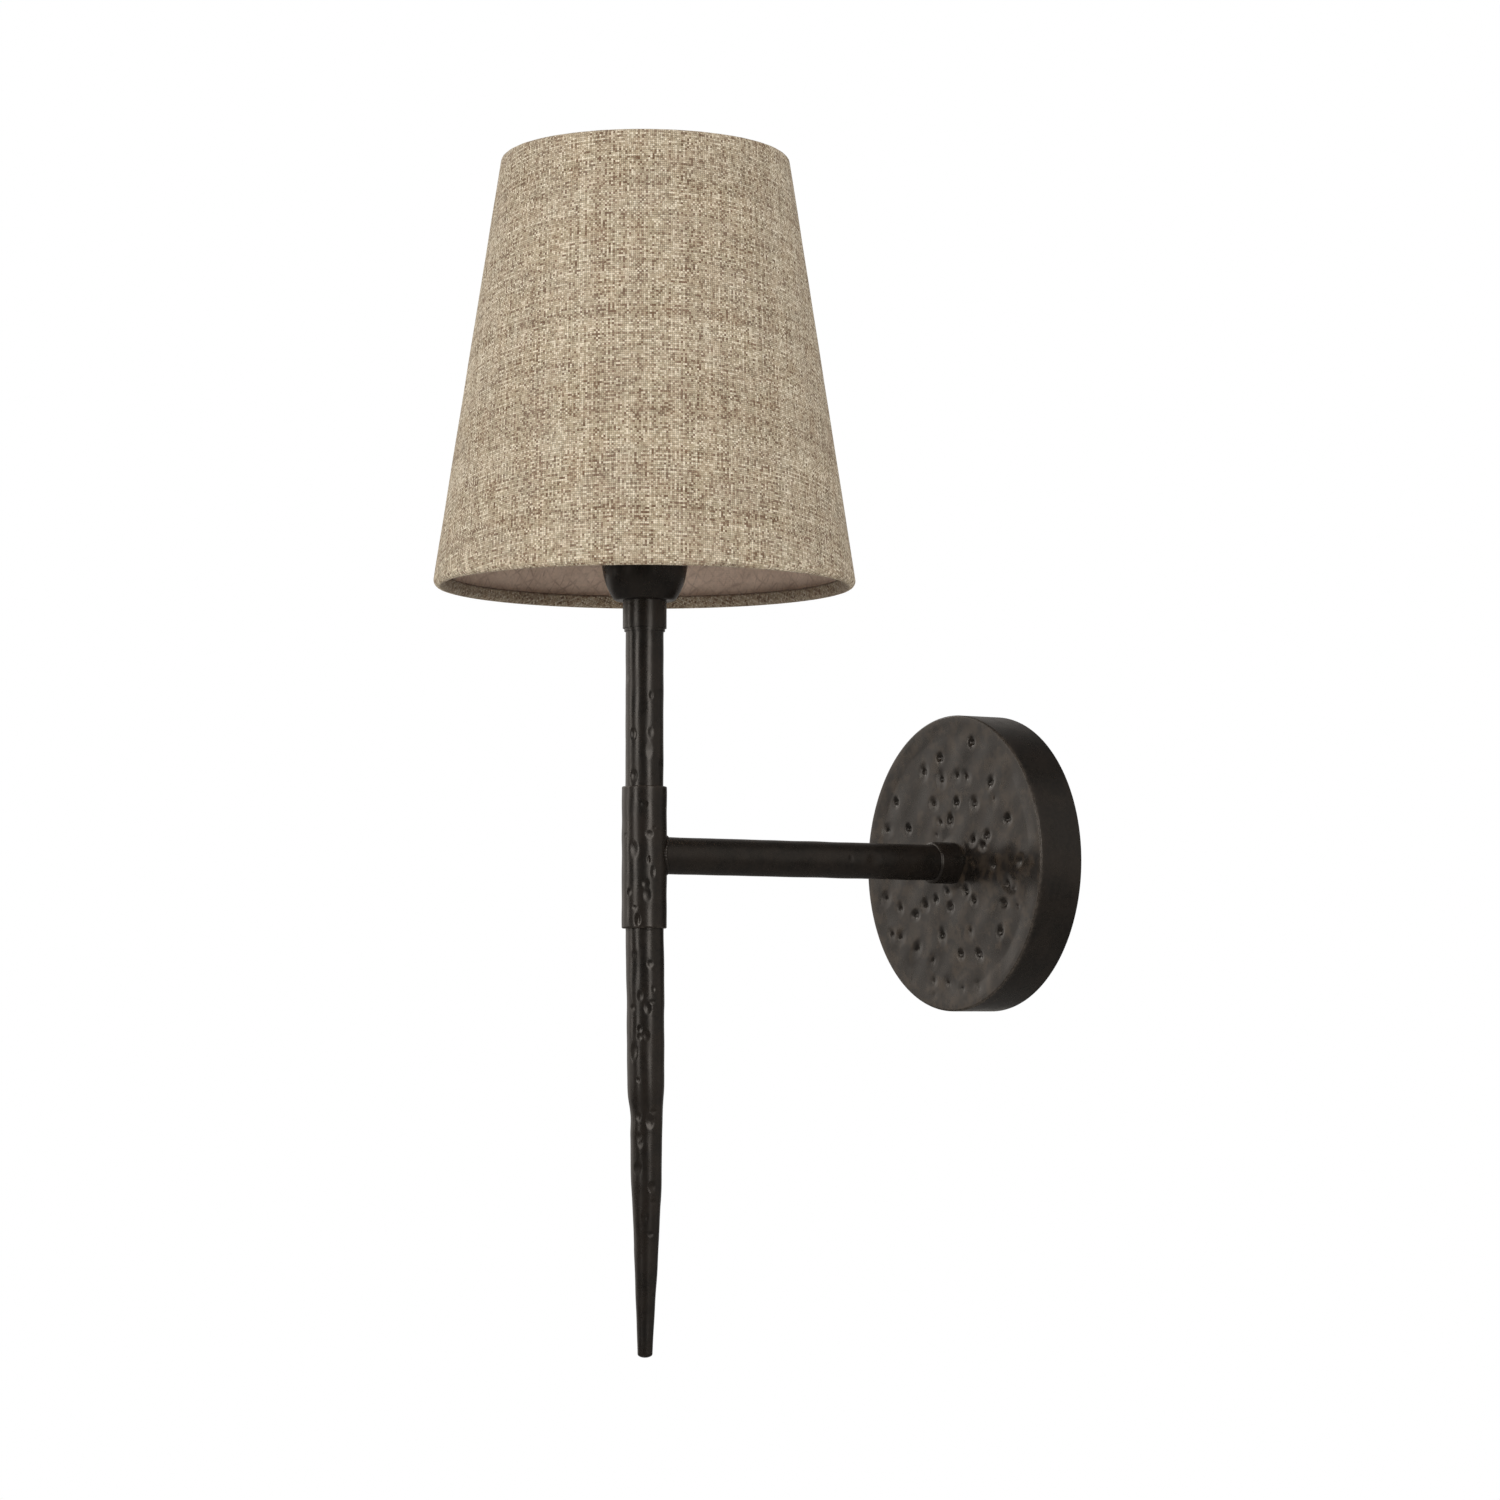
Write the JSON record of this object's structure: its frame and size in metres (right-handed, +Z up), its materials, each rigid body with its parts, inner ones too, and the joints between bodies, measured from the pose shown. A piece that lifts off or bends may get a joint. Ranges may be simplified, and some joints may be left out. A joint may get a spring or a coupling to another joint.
{
  "type": "torch sconce",
  "caption": "Wall light shaped like a torch: hammered round plate, straight arm, tapering staff with a cup, and a tapered linen shade.",
  "frame": {"origin": "on the wall plane behind the centre of the wall plate, on the arm's axis", "axes": "+Z up along the staff, -Y from the wall into the room, +X to the right seen from the room"},
  "size_m": [0.1634, 0.2477, 0.4641],
  "materials": {
    "black_iron": "satin black lacquer over hammered iron",
    "zinc_steel": "zinc plated",
    "brass": "bare",
    "holder_plastic": "black thermoset",
    "white_plastic": "moulded",
    "core_ceramic": "unglazed",
    "brown_insulation": "smooth",
    "blue_insulation": "smooth",
    "green_insulation": "smooth",
    "linen": "natural slub linen",
    "backing": "stiff sheet",
    "white_wire": "white powder coat",
    "bulb_metal": "nickel plated",
    "bulb_black": "black glass",
    "bulb_glass": "clear",
    "phosphor": "yellow phosphor"
  },
  "bodies": {
    "wall_frame": {"wall_bracket": "zinc_steel", "backplate": "black_iron", "plate_screws": "zinc_steel", "terminal_block": "white_plastic", "block_tubes": "brass", "block_screws": "zinc_steel", "block_fixing_screw": "zinc_steel", "earth_screw": "zinc_steel", "arm": "black_iron", "arm_collar": "black_iron", "arm_nipple": "zinc_steel", "arm_washer": "zinc_steel", "arm_nut": "zinc_steel", "nipple_bush": "white_plastic", "sleeve": "black_iron", "stem": "black_iron", "spike": "black_iron", "stem_collar": "black_iron", "cup": "black_iron", "stem_nipple": "zinc_steel", "cup_nut": "zinc_steel", "lampholder_cap": "holder_plastic", "lampholder_body": "holder_plastic", "lampholder_core": "core_ceramic", "lampholder_screws": "zinc_steel", "screw_shell": "brass", "centre_contact": "brass", "shade_ring_nut": "holder_plastic", "live_lead": "brown_insulation", "neutral_lead": "blue_insulation", "earth_lead": "green_insulation"},
    "shade": {"shade_fabric": "linen", "shade_lining": "backing", "shade_bottom_ring": "white_wire", "shade_top_ring": "white_wire", "shade_spoke_1": "white_wire", "shade_spoke_2": "white_wire", "shade_spoke_3": "white_wire", "shade_centre_ring": "white_wire"},
    "bulb_lift": {"bulb_contact": "bulb_metal"},
    "bulb": {"bulb_insulator": "bulb_black", "bulb_cap": "bulb_metal", "bulb_glass": "bulb_glass", "bulb_stem": "bulb_glass", "bulb_filaments": "phosphor"}
  },
  "joints": [
    {"name": "shade_turn", "type": "hinge", "parent": "wall_frame", "child": "shade", "pos_m": [0, -0.166, 0.136], "axis": [0, 0, 1], "continuous": true},
    {"name": "bulb_rise", "type": "slide", "parent": "wall_frame", "child": "bulb_lift", "axis": [0, 0, 1], "range_m": [0, 0.01412]},
    {"name": "bulb_turn", "type": "hinge", "parent": "bulb_lift", "child": "bulb", "pos_m": [0, -0.166, 0.13], "axis": [0, 0, 1], "range_deg": [0, 1800]}
  ],
  "couplings": [
    {"joint": "bulb_rise", "follows": "bulb_turn", "m_per_rad": 0.00044913}
  ]
}
